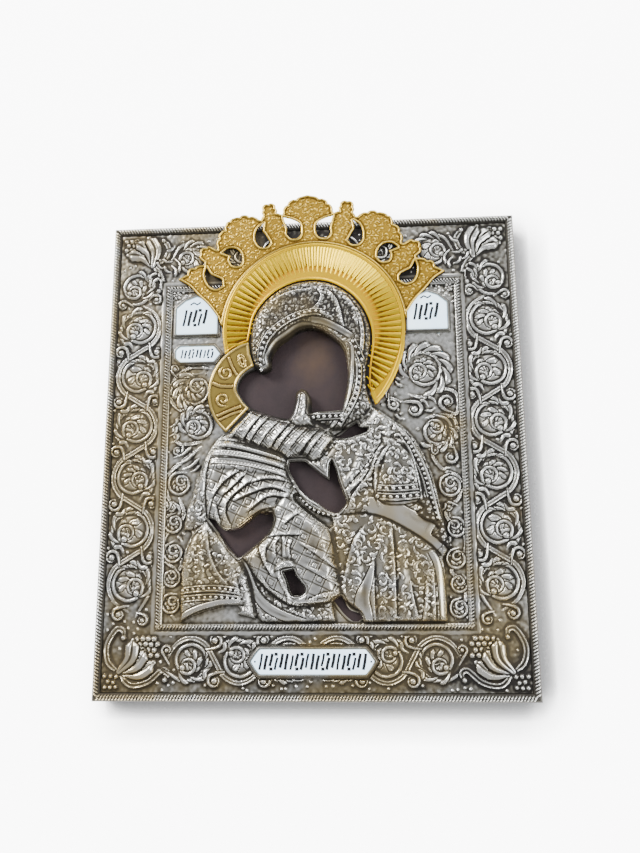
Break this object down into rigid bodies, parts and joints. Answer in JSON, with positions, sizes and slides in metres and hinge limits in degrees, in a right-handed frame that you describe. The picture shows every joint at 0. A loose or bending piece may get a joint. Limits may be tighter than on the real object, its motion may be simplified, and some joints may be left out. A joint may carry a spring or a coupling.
{
  "type": "brass icon",
  "caption": "Devotional icon: a wooden panel under an embossed silvered-brass cover with two draped figures, a scroll border, a gilded crown, halos and enamel plaques.",
  "frame": {"origin": "middle of the flat back of the wooden board, which it lies on", "axes": "+Z out of the face, +Y towards the top of the icon where the crown is, +X to the right as seen from the front"},
  "size_m": [0.311, 0.3782, 0.0403],
  "materials": {
    "wood": "old bare board, matte",
    "silvered_brass": "silvered, worn bright on the ridges with a dark patina in the hollows",
    "gilded_brass": "gilded, satin",
    "enamel": "glossy white enamel with dark strokes"
  },
  "bodies": {
    "root": {"board": "wood", "edge_moulding": "silvered_brass", "cover": "silvered_brass", "halo": "gilded_brass", "small_halo": "gilded_brass", "crown": "gilded_brass", "plaque_upper_left_bezel": "silvered_brass", "plaque_upper_left_enamel": "enamel", "plaque_upper_right_bezel": "silvered_brass", "plaque_upper_right_enamel": "enamel", "plaque_small_bezel": "silvered_brass", "plaque_small_enamel": "enamel", "plaque_bottom_bezel": "silvered_brass", "plaque_bottom_enamel": "enamel"}
  },
  "joints": []
}
